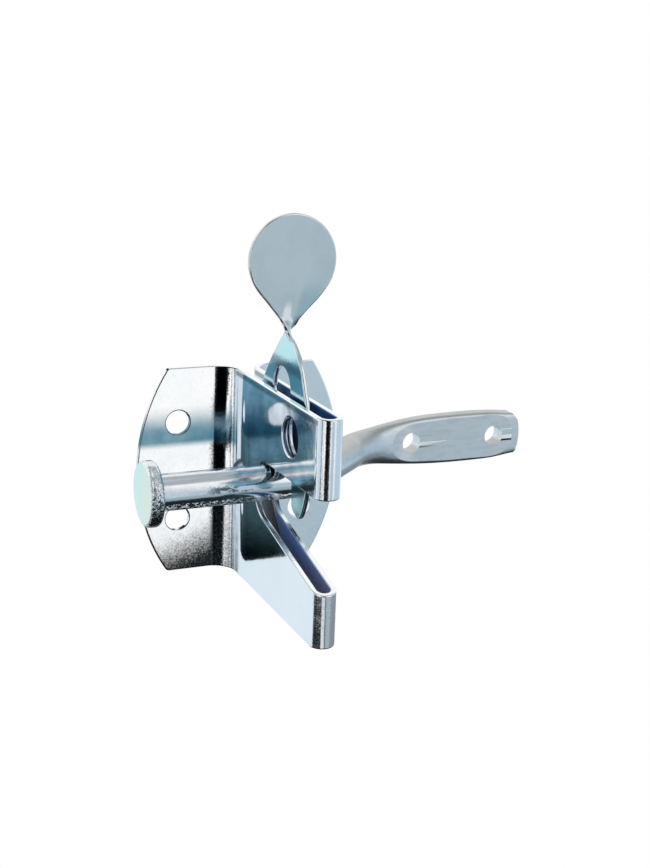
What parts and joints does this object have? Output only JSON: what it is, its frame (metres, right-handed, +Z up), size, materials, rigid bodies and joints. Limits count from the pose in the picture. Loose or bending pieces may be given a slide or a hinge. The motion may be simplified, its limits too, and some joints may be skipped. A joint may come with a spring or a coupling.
{
  "type": "automatic gate latch",
  "caption": "Folded sheet-steel gate latch with a throat, a falling hooked lever with a round thumb pad, and a bent strike bar with a headed end and a forged flat.",
  "frame": {"origin": "centre of the four post screw holes, in the mounting plane at the back of the two flanges", "axes": "+X to the right along the strike bar, +Y into the post, +Z up"},
  "size_m": [0.1646, 0.0832, 0.1367],
  "materials": {
    "zinc_sheet": "bright blue-white zinc plating over cold rolled sheet",
    "zinc_lever": "bright zinc plating, softly mottled, tumbled edges",
    "zinc_rivet": "bright zinc plating on a domed rivet head",
    "zinc_bar": "bright zinc plating over drawn bar, duller on the forged flat"
  },
  "bodies": {
    "latch": {"latch_body": "zinc_sheet", "pivot_rivet": "zinc_rivet"},
    "lever": {"latch_lever": "zinc_lever"},
    "striker": {"striker_bar": "zinc_bar"}
  },
  "joints": [
    {"name": "lever_lift", "type": "hinge", "parent": "latch", "child": "lever", "pos_m": [0, -0.0138, 0.001], "axis": [-1, 0, 0], "range_deg": [0, 25]},
    {"name": "striker_play", "type": "slide", "parent": "latch", "child": "striker", "axis": [0, -1, 0], "range_m": [0, 0.0093]}
  ]
}
